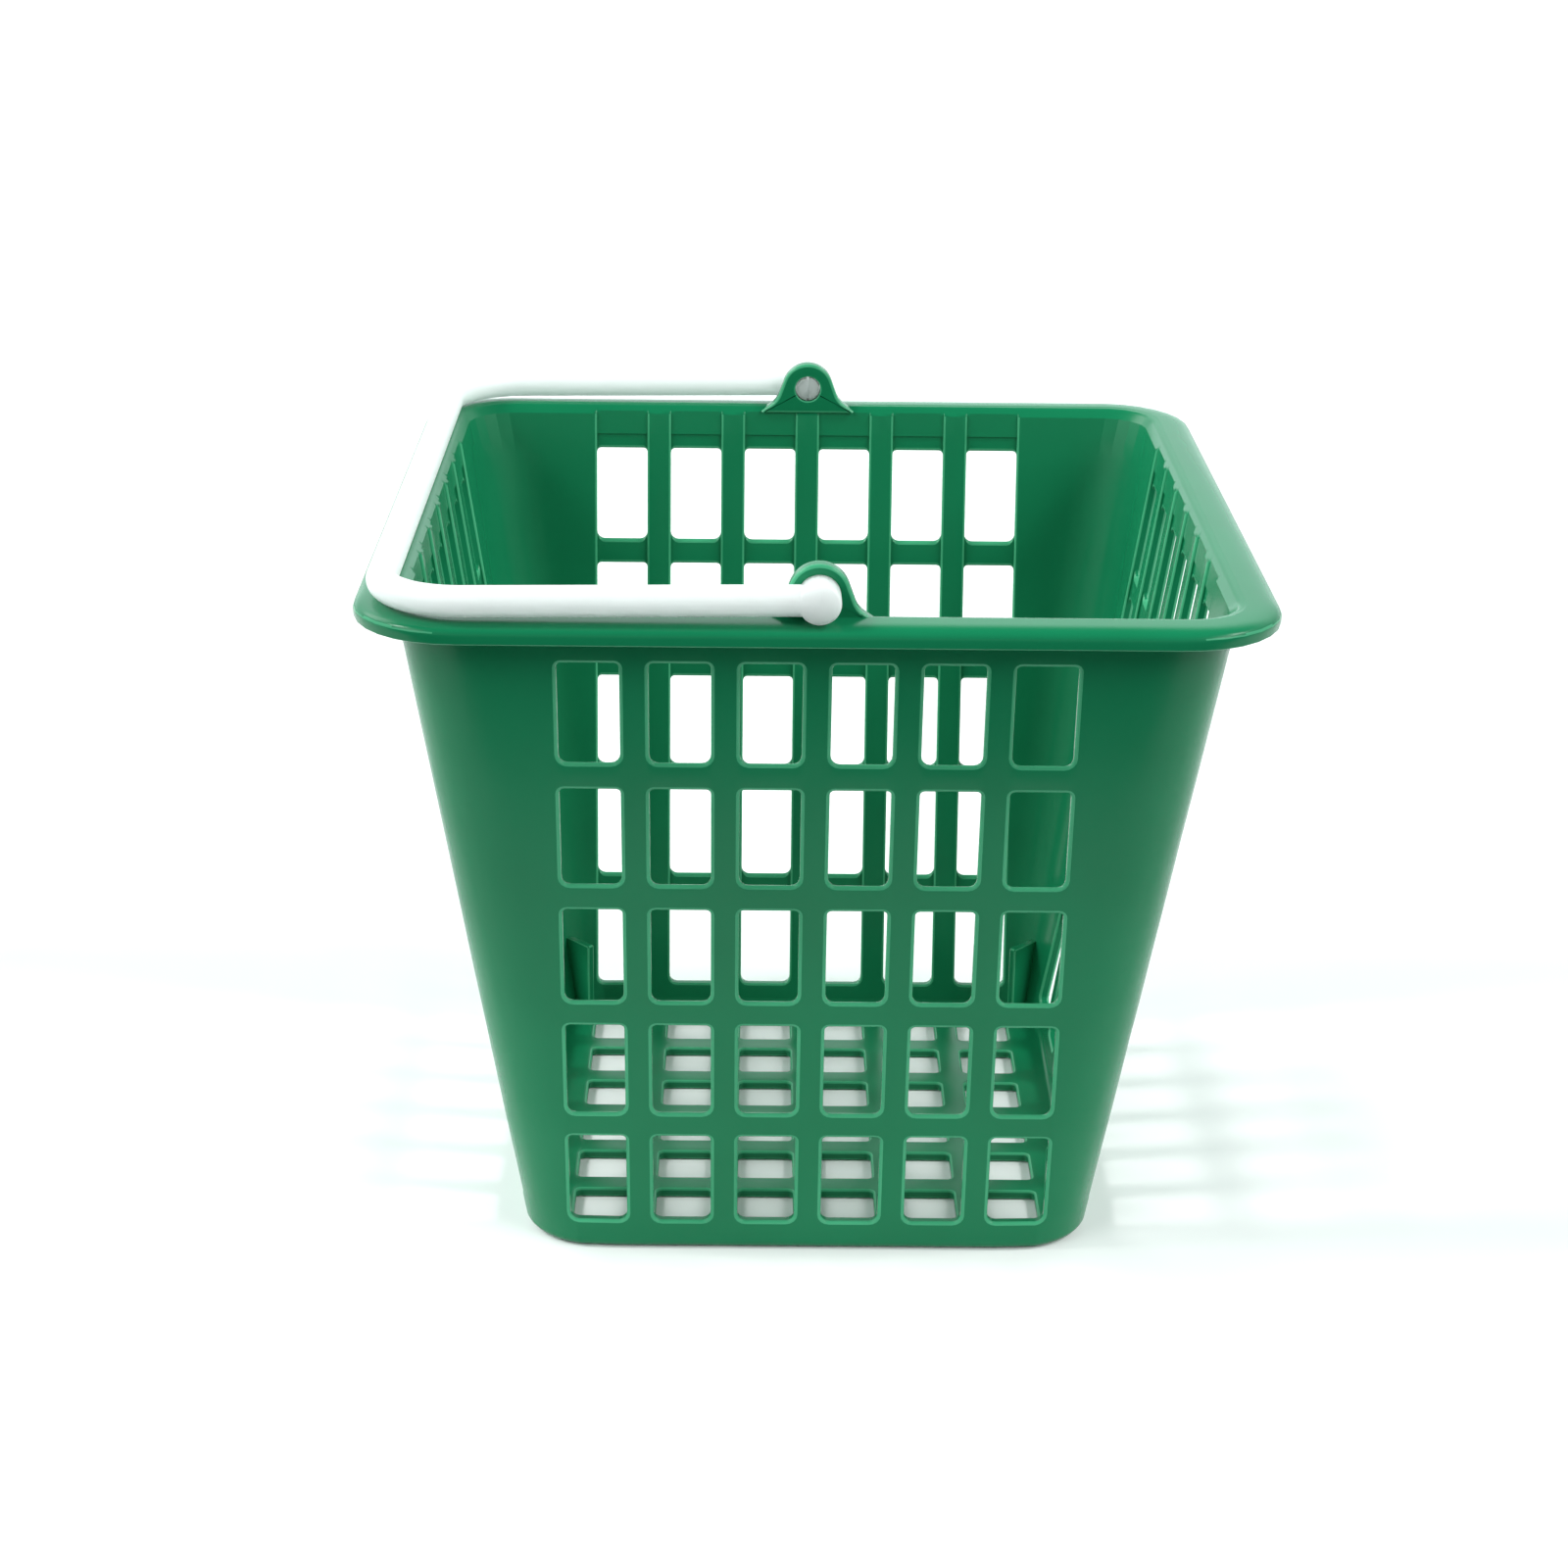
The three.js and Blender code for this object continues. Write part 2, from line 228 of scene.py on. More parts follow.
def smooth(piece: bpy.types.Object) -> None:
    """Gives a piece smooth shading with crisp edges, and marks the facets of its rounded edges.

    Args:
        piece: The mesh object.
    """
    work = bmesh.new()
    work.from_mesh(piece.data)
    layer = work.faces.layers.float.new(EDGE_ATTRIBUTE)
    sharp, bent, crease = math.radians(SHARP_DEG), math.radians(BENT_DEG), math.radians(CREASE_DEG)
    facets = set()
    for face in work.faces:
        face.smooth = True
        length = max(edge.calc_length() for edge in face.edges)
        sides = [edge for edge in face.edges if edge.calc_length() > LONG_SIDE * length]
        turns = [edge.calc_face_angle_signed(0.0) for edge in sides]
        narrow = face.calc_area() / length < EDGE_WIDTH
        # The mark makes the convex rounded facets paler in the material: partly wear, partly a painted
        # highlight.
        face[layer] = float(narrow and sum(turn > bent for turn in turns) > 1)
        if narrow and sum(abs(turn) > bent for turn in turns) > 1:
            facets.add(face)
    for edge in work.edges:
        limit = crease if facets.isdisjoint(edge.link_faces) else sharp
        edge.smooth = len(edge.link_faces) == 2 and edge.calc_face_angle(0.0) < limit
    work.to_mesh(piece.data)
    work.free()
    normals = piece.modifiers.new("flat_faces_stay_flat", "WEIGHTED_NORMAL")
    normals.keep_sharp = True
    normals.weight = FLAT_FACE_WEIGHT


@dataclass(frozen=True)
class WindowCell:
    """One window of a lattice and the rectangle of material round it, in the plane of the lattice."""

    left: float
    right: float
    bottom: float
    top: float
    middle: float
    half_width: float
    foot: float
    head: float
    foot_radius: float
    head_radius: float
    stations: tuple[float, ...]

    def radius(self, end: WindowEnd) -> float:
        """Gives the corner radius of one end of the window."""
        return self.head_radius if end is WindowEnd.HEAD else self.foot_radius

    def shoulder(self, end: WindowEnd) -> float:
        """Gives the height at which the straight sides turn into one end of the window."""
        edge = self.head if end is WindowEnd.HEAD else self.foot
        return edge - end.value * self.radius(end)

    def end_line(self, end: WindowEnd, grow: float = 0.0, lift: float = 0.0) -> list[Pair]:
        """Gives the outline of one end, from its left side to its right one.

        Args:
            end: Which end of the window.
            grow: How far the outline lies outside the window all round.
            lift: How much further it lies beyond the end alone.

        Returns:
            The points of the outline.
        """
        radius = self.radius(end)
        inset = self.half_width - radius
        steps = len(self.stations) // 2
        half = []
        for step in range(steps):
            angle = step / (steps - 1) * math.pi / 2
            across = inset + (radius + grow) * math.cos(angle)
            along = (radius + grow + lift) * math.sin(angle)
            half.append((across, self.shoulder(end) + end.value * along))
        left = [(self.middle - across, height) for across, height in half]
        right = [(self.middle + across, height) for across, height in reversed(half)]
        return left + right

    def end_face(self, draft: Draft, place: Place, end: WindowEnd, grow: float) -> None:
        """Draws the material between one end of the window and the cell's border beyond it.

        Args:
            draft: The draft that takes the faces.
            place: Puts a point of the lattice's plane into space.
            end: Which end of the window.
            grow: Width of the rounded edge of the window.
        """
        line = self.top if end is WindowEnd.HEAD else self.bottom
        level = [place(self.middle + station, line) for station in self.stations]
        curve = [place(*point) for point in self.end_line(end, grow)]
        draft.skin([level, curve])
        for bound, index in ((self.left, 0), (self.right, -1)):
            side = place(bound, self.shoulder(end))
            draft.face((level[index], place(bound, line), side, curve[index]))

    def side_faces(self, draft: Draft, place: Place, grow: float) -> None:
        """Draws the material beside the straight sides of the window.

        Args:
            draft: The draft that takes the faces.
            place: Puts a point of the lattice's plane into space.
            grow: Width of the rounded edge of the window.
        """
        low = self.shoulder(WindowEnd.FOOT)
        high = self.shoulder(WindowEnd.HEAD)
        for bound, way in ((self.left, -1), (self.right, 1)):
            edge = self.middle + way * (self.half_width + grow)
            draft.face((place(bound, low), place(edge, low), place(edge, high), place(bound, high)))


def draw_plate(
    draft: Draft,
    outline: Sequence[Pair],
    thickness: float,
    edge: float,
    place: Callable[[float, float, float], Vector],
    hole: float = 0.0,
    hole_edge: float = 0.0,
) -> None:
    """Draws a flat plate with rounded edges, closed on all sides.

    Args:
        draft: The draft that takes the faces.
        outline: Its outline, anticlockwise, star-shaped about zero if it has a hole.
        thickness: Distance between its two faces.
        edge: Radius of the rounding between the faces and the outline.
        place: Puts a point across, along and up the plate into space.
        hole: Radius of a round hole about zero, or zero for none.
        hole_edge: Radius of the rounding at the mouths of the hole.
    """
    count = len(outline)
    normals = []
    for i in range(count):
        before, after = outline[i - 1], outline[(i + 1) % count]
        way = Vector((after[1] - before[1], before[0] - after[0]))
        normals.append(way.normalized())

    def row(inset: float, along: float) -> list[Vector]:
        """Gives the outline moved inwards, at a place through the thickness."""
        return [place(p[0] - n.x * inset, along, p[1] - n.y * inset) for p, n in zip(outline, normals)]

    half = thickness / 2
    edges = rounding(edge, PLATE_EDGE_STEPS)
    rows = [row(inset, half - drop) for inset, drop in edges]
    rows += [row(inset, drop - half) for inset, drop in reversed(edges)]
    if not hole:
        draft.tube(rows)
        return
    draft.skin(rows, closed=True)
    turns = [math.atan2(p[1], p[0]) for p in outline]

    def bore(grow: float, along: float) -> list[Vector]:
        """Gives the hole's circle made wider, at a place through the thickness."""
        return [place((hole + grow) * math.cos(t), along, (hole + grow) * math.sin(t)) for t in turns]

    mouth = rounding(hole_edge, HOLE_EDGE_STEPS)
    bores = [bore(grow, half - drop) for grow, drop in mouth]
    bores += [bore(grow, drop - half) for grow, drop in reversed(mouth)]
    draft.skin([rows[0], *bores, rows[-1]], closed=True)


@dataclass
class LatticeBasket:
    """The basket: one moulding with leaning lattice walls, a lattice floor, a rolled rim, ears and fins."""

    base_width: float = 0.1726
    height: float = 0.2118
    draft_deg: float = 8.4
    corner_radius: float = 0.023
    corner_taper: float = 0.008
    flare_height: float = 0.198
    flare_taper: float = 0.35
    rib_depth: float = 0.0034
    skin: float = 0.0022
    floor_thickness: float = 0.003
    base_edge: float = 0.003
    floor_fillet: float = 0.002
    columns: int = 6
    rows: int = 5
    corner_band: float = 0.0147
    rib_width: float = 0.008
    bar_height: float = 0.00825
    sill_height: float = 0.010
    head_band: float = 0.0149
    head_radius: float = 0.0014
    foot_radius: float = 0.0026
    floor_radius: float = 0.0016
    window_edge: float = 0.001
    bar_edge: float = 0.0011
    rib_edge: float = 0.00065
    floor_edge: float = 0.0007
    panel_recess: float = 0.0007
    panel_foot: float = 0.0051
    inner_reach: float = 0.003
    bevel_deg: float = 52.0
    bevel_radius: float = 0.0018
    top_fall: float = 0.0002
    flat_depth: float = -0.0002
    lattice_margin: float = 0.0016
    rim_overhang: float = 0.0114
    rim_drop: float = 0.0059
    rim_shell: float = 0.0024
    rim_lip: float = 0.0015
    rim_shoulder: float = 0.0038
    rim_power: float = 0.74
    crown_offset: float = 0.0014
    lip_edge: float = 0.0006
    fin_top: float = 0.029
    fin_reach: float = 0.0115
    fin_thickness: float = 0.0026
    fin_edge: float = 0.0005
    ear_radius: float = 0.0085
    ear_thickness: float = 0.005
    ear_setback: float = 0.00212
    ear_flare_deg: float = 20.0
    ear_root: float = 0.0022
    ear_edge: float = 0.0009
    ear_spread: float = 0.002
    ear_spread_height: float = 0.004
    hinge_rise: float = 0.0062
    hole_radius: float = 0.00425
    hole_edge: float = 0.0004
    corner_steps: int = 16
    arc_steps: int = 8
    window_steps: int = 4
    edge_steps: int = 3
    rib_steps: int = 2
    bevel_steps: int = 5
    lip_steps: int = 4
    ear_steps: int = 96
    search_steps: int = 40

    @property
    def slope(self) -> float:
        """Outward lean of the walls for each metre of height."""
        return math.tan(math.radians(self.draft_deg))

    @property
    def pitch(self) -> float:
        """Distance between the middles of two columns."""
        return self.window_width + self.rib_width

    @property
    def window_width(self) -> float:
        """Clear width of a window."""
        clear = self.base_width - 2 * self.corner_band - (self.columns - 1) * self.rib_width
        return clear / self.columns

    @property
    def window_head(self) -> float:
        """Height of the head of the highest windows."""
        return self.height - self.head_band

    @property
    def window_height(self) -> float:
        """Clear height of a window."""
        clear = self.window_head - self.sill_height - (self.rows - 1) * self.bar_height
        return clear / self.rows

    @property
    def lattice_end(self) -> float:
        """Distance from the middle of a wall to the border of its lattice."""
        return (self.columns - 1) / 2 * self.pitch + self.window_width / 2 + self.lattice_margin

    @property
    def panel_bottom(self) -> float:
        """Height of the lower edge of the recessed panels."""
        return self.window_head + self.panel_foot

    @property
    def flat_height(self) -> float:
        """Height of the flat top of the rim where it meets the wall."""
        return self.height - self.top_fall / 2

    @property
    def sill_line(self) -> float:
        """Height of the plain inner band below the lowest windows."""
        return (self.sill_height + self.floor_thickness + self.floor_fillet) / 2

    @property
    def crown(self) -> float:
        """Distance from the middle to the crown of the rim."""
        return self.wall_half(self.height - self.rim_drop) + self.crown_offset

    @property
    def hinge_height(self) -> float:
        """Height of the hinge line through the holes of the two ears."""
        return self.height + self.hinge_rise

    @property
    def ear_middle(self) -> float:
        """Distance from the middle of the basket to the middle of an ear's thickness."""
        return self.crown - self.ear_setback

    @property
    def stations(self) -> tuple[float, ...]:
        """Places across a cell at which its level borders carry points."""
        half = self.window_width / 2
        steps = range(self.window_steps + 1)
        left = [self.foot_radius * step / self.window_steps - half for step in steps]
        return tuple(left + [-place for place in reversed(left)])

    def wall_half(self, z: float) -> float:
        """Gives half the outer width of the basket at a height."""
        return self.base_width / 2 + z * self.slope

    def bend(self, z: float) -> float:
        """Gives the radius of the outer corners, a little tighter upwards and more so at the rim."""
        flare = max(z - self.flare_height, 0.0)
        return self.corner_radius - self.corner_taper * z - self.flare_taper * flare

    @staticmethod
    def turned(point: Vector, turn: int) -> Vector:
        """Turns a point of the front wall to another wall.

        Args:
            point: The point.
            turn: Number of quarter turns.

        Returns:
            The turned point.
        """
        x, y, z = point
        for _ in range(turn % WALLS):
            x, y = -y, x
        return Vector((x, y, z))

    @staticmethod
    def ring_depth(x: float, half: float, radius: float) -> float:
        """Gives how far the side of a round-cornered square lies from its middle at a place along it."""
        beyond = max(abs(x) - (half - radius), 0.0)
        return half - radius + math.sqrt(max(radius**2 - beyond**2, 0.0))

    def at_depth(self, depth: float, turn: int) -> Place:
        """Gives the function that puts a point of a wall's plane into space.

        Args:
            depth: Distance behind the outer face of the wall.
            turn: Which wall, in quarter turns from the front.

        Returns:
            The placing function.
        """

        def place(x: float, z: float) -> Vector:
            """Puts a point of the wall's plane into space."""
            half = self.wall_half(z) - depth
            return self.turned(Vector((x, -self.ring_depth(x, half, self.bend(z) - depth), z)), turn)

        return place

    def corner_line(self, half: float, z: float, turn: int) -> list[Vector]:
        """Gives the points of a level ring round one corner, between two lattices.

        Args:
            half: Half the width of the ring.
            z: Its height.
            turn: Which corner, in quarter turns from the front right one.

        Returns:
            The points, evenly spaced.
        """
        radius = self.bend(z) + half - self.wall_half(z)
        middle = half - radius
        start = self.lattice_end
        straight = max(middle - start, 0.0)
        first = math.asin(max(start - middle, 0.0) / radius)
        bend = radius * (math.pi / 2 - 2 * first)
        points = []
        for step in range(self.corner_steps + 1):
            way = (2 * straight + bend) * step / self.corner_steps
            if way < straight:
                x, y = start + way, half
            elif way <= straight + bend:
                angle = first + (way - straight) / radius
                x, y = middle + radius * math.sin(angle), middle + radius * math.cos(angle)
            else:
                x, y = half, start + 2 * straight + bend - way
            points.append(self.turned(Vector((x, -y, z)), turn))
        return points

    def wall_line(self, half: float, z: float, turn: int) -> list[Vector]:
        """Gives the points of a level ring along one wall's lattice.

        Args:
            half: Half the width of the ring.
            z: Its height.
            turn: Which wall, in quarter turns from the front.

        Returns:
            The points from the left end to the right one.
        """
        radius = self.bend(z) + half - self.wall_half(z)
        places = [-self.lattice_end]
        for column in range(self.columns):
            cell = self.wall_cell(column, 0)
            places += [cell.middle + station for station in self.stations]
            places.append(cell.right)
        return [self.turned(Vector((x, -self.ring_depth(x, half, radius), z)), turn) for x in places]

    def ring(self, half: float, z: float) -> list[Vector]:
        """Gives a whole level ring of the basket.

        Args:
            half: Half the width of the ring.
            z: Its height.

        Returns:
            The points all round.
        """
        points = []
        for turn in range(WALLS):
            points += self.wall_line(half, z, turn)
            points += self.corner_line(half, z, turn)[1:-1]
        return points

    def bounds_of(self, column: int) -> Triple:
        """Gives the borders and the middle of a column of the lattice.

        Args:
            column: Number of the column from the left.

        Returns:
            Its left border, middle and right border.
        """
        middle = (column - (self.columns - 1) / 2) * self.pitch
        left = max(middle - self.pitch / 2, -self.lattice_end)
        right = min(middle + self.pitch / 2, self.lattice_end)
        return left, middle, right

    def wall_cell(self, column: int, row: int) -> WindowCell:
        """Gives one cell of a wall's lattice.

        Args:
            column: Number of the column from the left.
            row: Number of the row from the bottom.

        Returns:
            The cell.
        """
        left, middle, right = self.bounds_of(column)
        foot = self.sill_height + row * (self.window_height + self.bar_height)
        head = foot + self.window_height
        return WindowCell(
            left=left,
            right=right,
            bottom=foot - self.bar_height / 2,
            top=head + self.bar_height / 2,
            middle=middle,
            half_width=self.window_width / 2,
            foot=foot,
            head=head,
            foot_radius=self.foot_radius,
            head_radius=self.head_radius,
            stations=self.stations,
        )

    def floor_cell(self, column: int, row: int) -> WindowCell:
        """Gives one cell of the floor's lattice.

        Args:
            column: Number of the column from the left.
            row: Number of the row from the front.

        Returns:
            The cell.
        """
        left, middle, right = self.bounds_of(column)
        near, centre, far = self.bounds_of(row)
        half = self.window_width / 2
        return WindowCell(
            left=left,
            right=right,
            bottom=near,
            top=far,
            middle=middle,
            half_width=half,
            foot=centre - half,
            head=centre + half,
            foot_radius=self.floor_radius,
            head_radius=self.floor_radius,
            stations=self.stations,
        )

    def skin_levels(self) -> list[Triple]:
        """Gives the levels of a window's edge through the skin.

        Returns:
            Growth all round, growth beyond the ends, and depth behind the outer face.
        """
        outer = [(grow, 0.0, depth) for grow, depth in rounding(self.window_edge, self.edge_steps)]
        inner = rounding(self.bar_edge, self.edge_steps)
        return outer + [(0.0, lift, self.skin - depth) for lift, depth in reversed(inner)]

    def rib_levels(self) -> list[Pair]:
        """Gives the levels of a rib's side from the skin to its face.

        Returns:
            Growth away from the window, and depth behind the outer face.
        """
        side = [(0.0, self.skin), (0.0, self.rib_depth - self.panel_recess)]
        edge = rounding(self.rib_edge, self.rib_steps)
        return side + [(grow, self.rib_depth - depth) for grow, depth in reversed(edge)]

    def top_levels(self) -> list[Pair]:
        """Gives the levels of the inner wall, from the foot of the panels over the bevel of the rim.

        Returns:
            Heights, each with how far the bevel lies behind the inner face.
        """
        top = self.height - self.top_fall
        bevel, radius = math.radians(self.bevel_deg), self.bevel_radius
        turns = [bevel * (1 - step / self.bevel_steps) for step in range(self.bevel_steps + 1)]
        round_off = [
            (top - radius * (1 - math.cos(a)), self.inner_reach - radius * math.sin(a)) for a in turns
        ]
        high, back = round_off[0]
        foot = high - back * math.tan(bevel)
        panel_top = foot + self.panel_recess * math.tan(bevel)
        return [(self.panel_bottom, 0.0), (foot, 0.0), (panel_top, self.panel_recess), *round_off]

    def draw_reveal(self, draft: Draft, cell: WindowCell, turn: int, lowest: bool) -> None:
        """Draws the edges of one window through the wall.

        Args:
            draft: The draft that takes the faces.
            cell: The window's cell.
            turn: Which wall, in quarter turns from the front.
            lowest: Whether the foot runs on to the face of the ribs.
        """
        skin = self.skin_levels()
        through = [(grow, depth) for grow, _, depth in skin] + self.rib_levels()[1:]
        for end in WindowEnd:
            levels = skin
            if lowest and end is WindowEnd.FOOT:
                levels = [(grow, 0.0, depth) for grow, depth in through]
            rows = []
            for grow, lift, depth in levels:
                place = self.at_depth(depth, turn)
                rows.append([place(*point) for point in cell.end_line(end, grow, lift)])
            draft.skin(rows)
        heights = (cell.shoulder(WindowEnd.FOOT), cell.shoulder(WindowEnd.HEAD))
        self.draw_rib_side(draft, cell, turn, through, heights)

    def draw_rib_side(
        self, draft: Draft, cell: WindowCell, turn: int, levels: Sequence[Pair], heights: Sequence[float]
    ) -> None:
        """Draws both upright sides of a column between heights.

        Args:
            draft: The draft that takes the faces.
            cell: A cell of the column.
            turn: Which wall, in quarter turns from the front.
            levels: Growth and depth of each upright line.
            heights: Heights at which the sides carry points.
        """
        for way in (-1, 1):
            rows = []
            for grow, depth in levels:
                place = self.at_depth(depth, turn)
                rows.append([place(cell.middle + way * (cell.half_width + grow), z) for z in heights])
            draft.skin(rows)

    def draw_channel(self, draft: Draft, cells: Sequence[WindowCell], turn: int) -> None:
        """Draws the inside of one column: its bars, its panel and the faces of the ribs beside it.

        Args:
            draft: The draft that takes the faces.
            cells: The cells of the column from the bottom.
            turn: Which wall, in quarter turns from the front.
        """
        first, last = cells[0], cells[-1]
        back = self.at_depth(self.skin, turn)
        face = self.at_depth(self.rib_depth, turn)
        ribs = self.rib_levels()
        lift = self.bar_edge
        for below, above in zip(cells, cells[1:]):
            head = [back(*point) for point in below.end_line(WindowEnd.HEAD, lift=lift)]
            foot = [back(*point) for point in above.end_line(WindowEnd.FOOT, lift=lift)]
            draft.skin([head, foot])
            bar = (below.shoulder(WindowEnd.HEAD), above.shoulder(WindowEnd.FOOT))
            self.draw_rib_side(draft, first, turn, ribs, bar)
        top_head = last.shoulder(WindowEnd.HEAD)
        self.draw_rib_side(draft, first, turn, ribs, (top_head, self.panel_bottom))
        across = [first.middle + station for station in self.stations]
        step_rows = [[back(*point) for point in last.end_line(WindowEnd.HEAD, lift=lift)]]
        step_rows.append([back(x, self.panel_bottom) for x in across])
        recess = self.at_depth(ribs[1][1], turn)
        step_rows.append([recess(x, self.panel_bottom) for x in across])
        draft.skin(step_rows)
        heights = [cell.shoulder(end) for cell in cells for end in reversed(WindowEnd)]
        heights.append(self.panel_bottom)
        for bound, way in ((first.left, -1), (first.right, 1)):
            edge = first.middle + way * (first.half_width + self.rib_edge)
            draft.skin([[face(x, z) for z in heights] for x in (bound, edge)])
        sill = replace(first, bottom=self.sill_line)
        sill.end_face(draft, face, WindowEnd.FOOT, self.rib_edge)
        self.draw_panel(draft, first, turn)

    def draw_panel(self, draft: Draft, cell: WindowCell, turn: int) -> None:
        """Draws the recessed panel over one column, which runs out into the bevelled inside of the rim.

        Args:
            draft: The draft that takes the faces.
            cell: A cell of the column.
            turn: Which wall, in quarter turns from the front.
        """
        ribs = self.rib_levels()[1:]
        left = [(cell.left - cell.middle, self.rib_depth)]
        left += [(-cell.half_width - grow, depth) for grow, depth in reversed(ribs)]
        right = [(cell.half_width + grow, depth) for grow, depth in ribs]
        right.append((cell.right - cell.middle, self.rib_depth))
        section = left + [(station, ribs[0][1]) for station in self.stations[1:-1]] + right
        rows = []
        for z, back in self.top_levels():
            deepest = self.rib_depth - back
            row = [self.at_depth(min(depth, deepest), turn)(cell.middle + x, z) for x, depth in section]
            rows.append(row)
        draft.skin(rows)
        top = self.at_depth(self.flat_depth, turn)
        outer = [top(cell.middle + x, self.flat_height) for x in self.stations]
        inner = rows[-1][len(ribs) : -len(ribs)]
        draft.skin([outer, inner])
        draft.face((top(cell.left, self.flat_height), outer[0], *reversed(rows[-1][: len(ribs) + 1])))
        draft.face((outer[-1], top(cell.right, self.flat_height), *reversed(rows[-1][-len(ribs) - 1 :])))

    def draw_wall(self, draft: Draft, turn: int) -> None:
        """Draws one wall and the corner at its right end.

        Args:
            draft: The draft that takes the faces.
            turn: Which wall, in quarter turns from the front.
        """
        outside = self.at_depth(0.0, turn)
        for column in range(self.columns):
            cells = [self.wall_cell(column, row) for row in range(self.rows)]
            for row, cell in enumerate(cells):
                cell.side_faces(draft, outside, self.window_edge)
                for end in WindowEnd:
                    cell.end_face(draft, outside, end, self.window_edge)
                self.draw_reveal(draft, cell, turn, lowest=row == 0)
            self.draw_channel(draft, cells, turn)
        cells = [self.wall_cell(0, row) for row in range(self.rows)]
        shoulders = [cell.shoulder(end) for cell in cells for end in reversed(WindowEnd)]
        outer = sorted(shoulders + [cell.bottom for cell in cells] + [cells[-1].top])
        inner = [(z, self.rib_depth) for z in (self.sill_line, *shoulders)]
        inner += [(z, self.rib_depth - back) for z, back in self.top_levels()]
        inner.append((self.flat_height, self.flat_depth))
        draft.skin([self.corner_line(self.wall_half(z), z, turn) for z in outer])
        draft.skin([self.corner_line(self.wall_half(z) - depth, z, turn) for z, depth in inner])

    def rim_section(self) -> list[Pair]:
        """Gives the section of the rim, from its root outside the wall, round the skirt, to its flat top.

        Returns:
            Half widths and heights.
        """
        skirt = self.height - self.rim_drop
        limit = self.wall_half(skirt) + self.rim_overhang
        shoulder = (self.crown, self.height - self.rim_shoulder)
        outward = limit - self.crown
        root = self.height - self.rim_shell - self.crown_offset
        edge = self.lip_edge
        lip_in = (limit - self.rim_lip + edge, skirt + edge)
        lip_out = (limit - edge, skirt + edge)
        steps, full = self.arc_steps, self.rim_power
        inward = (outward - self.rim_lip, self.rim_shoulder - self.rim_shell)
        return [
            (self.wall_half(root), root),
            *arc(shoulder, *inward, 90, 0, steps, full),
            *arc(lip_in, edge, edge, 180, 270, self.lip_steps),
            *arc(lip_out, edge, edge, -90, 0, self.lip_steps),
            *arc(shoulder, outward, self.rim_shoulder, 0, 90, 2 * steps, full),
            (self.wall_half(self.flat_height) - self.flat_depth, self.flat_height),
        ]

    def draw_floor(self, draft: Draft, top: Sequence[Vector], bottom: Sequence[Vector]) -> None:
        """Draws the lattice of the floor and joins it to the rings of the walls.

        Args:
            draft: The draft that takes the faces.
            top: Ring of the wall at the upper face of the floor.
            bottom: Ring of the wall at the ground.
        """
        thickness = self.floor_thickness
        edges = rounding(self.floor_edge, self.rib_steps)
        levels = [(grow, thickness - drop) for grow, drop in edges]
        levels += [(grow, drop) for grow, drop in reversed(edges)]
        for column in range(self.columns):
            for row in range(self.columns):
                cell = self.floor_cell(column, row)
                rows = []
                for grow, z in levels:
                    loop = cell.end_line(WindowEnd.HEAD, grow)
                    loop += reversed(cell.end_line(WindowEnd.FOOT, grow))
                    rows.append([Vector((x, y, z)) for x, y in loop])
                draft.skin(rows, closed=True)
                for z in (thickness, 0.0):

                    def place(x: float, y: float, z: float = z) -> Vector:
                        """Puts a point of the floor's plane into space."""
                        return Vector((x, y, z))

                    cell.side_faces(draft, place, self.floor_edge)
                    for end in WindowEnd:
                        cell.end_face(draft, place, end, self.floor_edge)
        self.draw_floor_margin(draft, top, thickness)
        self.draw_floor_margin(draft, bottom, 0.0)

    def draw_floor_margin(self, draft: Draft, ring: Sequence[Vector], z: float) -> None:
        """Draws the plain floor between the lattice and a ring of the wall.

        Args:
            draft: The draft that takes the faces.
            ring: The ring, at the same height.
            z: Height of the face.
        """
        end = self.lattice_end
        per_wall = self.columns * (len(self.stations) + 1) + 1
        per_turn = len(ring) // WALLS
        stations = len(self.stations) // 2
        for turn in range(WALLS):
            start = turn * per_turn
            wall = ring[start : start + per_wall]
            corner = [ring[(start + i) % len(ring)] for i in range(per_wall - 1, per_turn + 1)]
            hub = self.turned(Vector((end, -end, z)), turn)
            for first, second in zip(corner, corner[1:]):
                draft.face((hub, first, second))
            if turn % 2 == 0:
                places = [self.turned(point, -turn % WALLS).x for point in wall]
                border = [self.turned(Vector((x, -end, z)), turn) for x in places]
                draft.skin([border, wall])
                continue
            for column in range(self.columns):
                left, middle, right = self.bounds_of(column)
                flat = self.window_width / 2 - self.floor_radius
                places = (left, middle - flat, middle + flat, right)
                inner = [self.turned(Vector((x, -end, z)), turn) for x in places]
                at = column * (len(self.stations) + 1)
                cuts = (at, at + stations, at + stations + 1, at + 2 * stations + 1)
                for i in range(len(cuts) - 1):
                    outer = wall[cuts[i] : cuts[i + 1] + 1]
                    draft.face((inner[i], *outer, inner[i + 1]))

    def ear_outline(self) -> list[Pair]:
        """Gives the outline of an ear about its hinge: a round head on flanks that spread into the rim.

        Returns:
            The points, anticlockwise.
        """
        flare = math.radians(self.ear_flare_deg)
        root = -(self.hinge_rise + self.ear_root)

        def inside(x: float, z: float) -> bool:
            """Tells whether a point about the hinge lies within the ear.

            Args:
                x: Place across the ear.
                z: Height over the hinge.

            Returns:
                True if it does.
            """
            if z >= self.ear_radius * math.sin(flare):
                return math.hypot(x, z) <= self.ear_radius
            spread = max(0.0, 1 - (z + self.hinge_rise) / self.ear_spread_height)
            flank = self.ear_radius / math.cos(flare) - z * math.tan(flare)
            return z >= root and abs(x) <= flank + self.ear_spread * spread**2

        points = []
        far = 4 * self.ear_radius
        for step in range(self.ear_steps):
